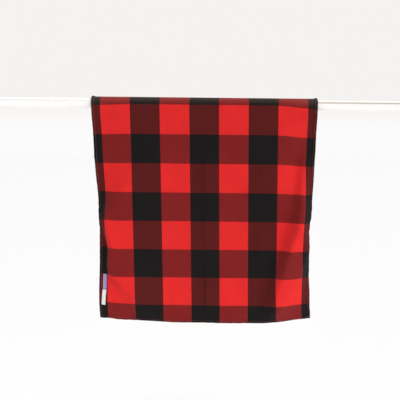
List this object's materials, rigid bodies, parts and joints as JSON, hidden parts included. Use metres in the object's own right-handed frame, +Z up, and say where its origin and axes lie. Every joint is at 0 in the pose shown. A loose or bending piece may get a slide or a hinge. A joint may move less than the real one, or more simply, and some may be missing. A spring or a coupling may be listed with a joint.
{
  "type": "wool blanket over a rod",
  "caption": "Hemmed wool blanket in a red and black buffalo check, hung over a plain round white rod, with a long front leaf and a short back leaf.",
  "frame": {"origin": "centre of the rod's left end face", "axes": "+X along the rod towards its right end, +Y from the front leaf to the back leaf, +Z up"},
  "size_m": [1.5, 0.0718, 0.7838],
  "materials": {
    "wool_check": "brushed wool twill in a red and black check",
    "blue_ribbon": "pale blue woven ribbon, bare",
    "white_ribbon": "white satin ribbon, bare",
    "white_rod": "white satin paint on a turned pole"
  },
  "bodies": {
    "root": {"blanket": "wool_check", "label_blue": "blue_ribbon", "label_white": "white_ribbon", "rod": "white_rod"}
  },
  "joints": []
}
